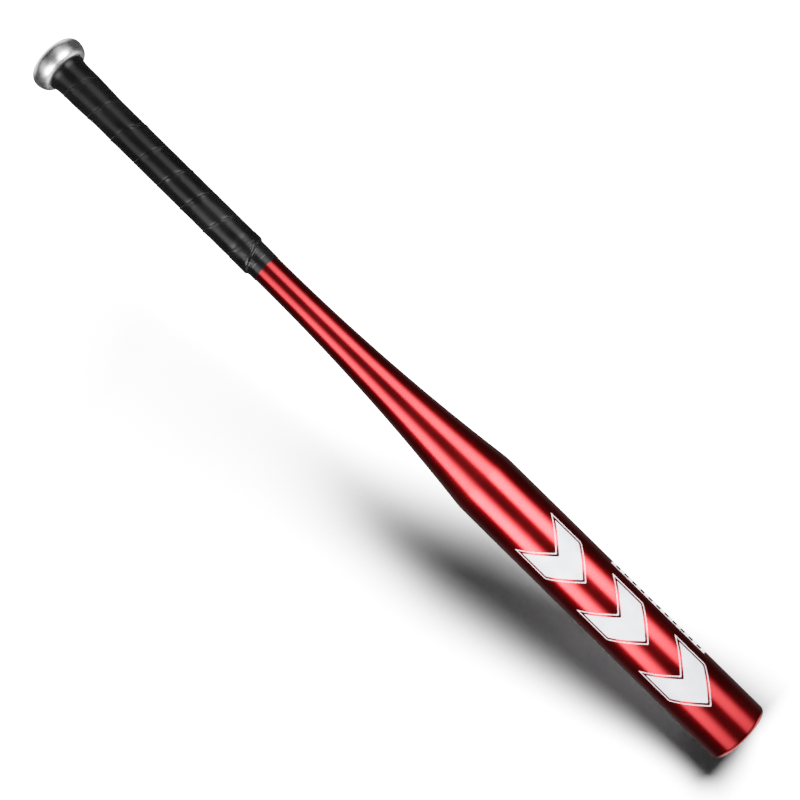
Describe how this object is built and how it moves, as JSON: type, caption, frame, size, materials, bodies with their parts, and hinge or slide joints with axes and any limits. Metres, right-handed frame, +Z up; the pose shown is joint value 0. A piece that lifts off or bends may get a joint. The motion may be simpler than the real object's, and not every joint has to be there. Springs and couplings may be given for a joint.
{
  "type": "baseball bat",
  "caption": "Red anodised aluminium baseball bat with a bare metal knob, a black wound grip and three white chevrons printed on the barrel",
  "frame": {"origin": "the centre of the knob's flat end face, which is where the knob_end mount is", "axes": "+X runs along the bat's axis from the knob to the barrel's end; +Z is up and points at the printed chevrons; +Y is the side that carries the row of dashes"},
  "size_m": [0.762, 0.0541, 0.0541],
  "materials": {
    "red_anodised": "clear red anodised over polished metal",
    "bare_aluminium": "turned and polished, bare",
    "black_grip": "fine grained synthetic leather strip",
    "black_vinyl": "semi-gloss vinyl tape",
    "black_urethane": "moulded urethane",
    "black_rubber": "moulded rubber",
    "grey_foam": "closed-cell foam",
    "cloth_tape": "double-sided cloth tape",
    "white_ink": "screen-printed ink"
  },
  "bodies": {
    "root": {"barrel_shell": "red_anodised", "end_cap": "black_urethane", "end_cap_damper": "grey_foam", "knob": "bare_aluminium", "knob_plug": "black_rubber", "handle_plug": "grey_foam", "grip_base_tape": "cloth_tape", "grip_wrap": "black_grip", "finishing_tape": "black_vinyl", "print_chevron_1": "white_ink", "print_outline_1": "white_ink", "print_chevron_2": "white_ink", "print_outline_2": "white_ink", "print_chevron_3": "white_ink", "print_outline_3": "white_ink", "side_mark": "white_ink"}
  },
  "joints": []
}
